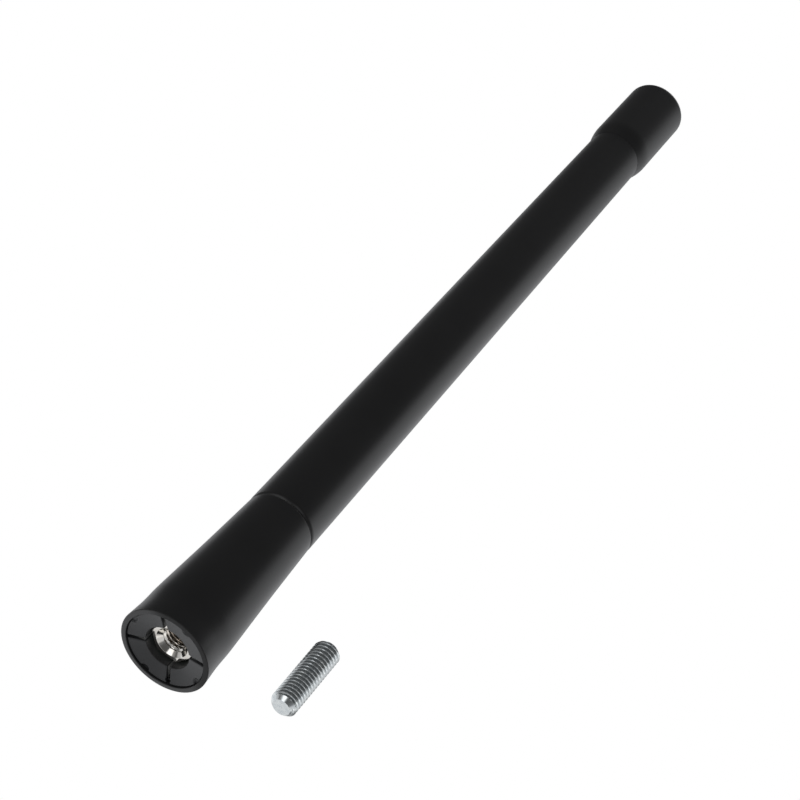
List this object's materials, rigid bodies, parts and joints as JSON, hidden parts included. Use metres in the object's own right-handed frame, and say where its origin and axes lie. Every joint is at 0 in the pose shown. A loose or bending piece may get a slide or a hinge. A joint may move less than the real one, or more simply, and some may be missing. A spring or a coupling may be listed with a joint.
{
  "type": "car antenna rod",
  "caption": "Short rubber roof antenna rod with a flared foot, a threaded hexagon insert, a tapered mast, a tip cap and its threaded mounting stud.",
  "frame": {"origin": "centre of the foot's flat rim, on the rod's axis", "axes": "+Z along the rod from the foot's rim to the tip, -Z the way the insert's thread opens, +X to the side that the picture shows at the lower right, where the loose stud lies"},
  "size_m": [0.032, 0.0216, 0.2],
  "materials": {
    "black_rubber": "satin black rubber",
    "hard_plastic": "smooth dark grey moulding",
    "nickel_plate": "bright nickel plate on turned brass",
    "glass_fibre": "pultruded glass fibre",
    "copper_wire": "enamelled copper wire",
    "shrink_plastic": "black shrink tube",
    "zinc_plate": "bright zinc plate on steel"
  },
  "bodies": {
    "root": {"foot_skin": "black_rubber", "foot_core": "hard_plastic", "threaded_insert": "nickel_plate", "core_rod": "glass_fibre", "winding": "copper_wire", "shrink_tube": "shrink_plastic", "mast_sleeve": "black_rubber", "tip_cap": "black_rubber", "mounting_stud": "zinc_plate"}
  },
  "joints": []
}
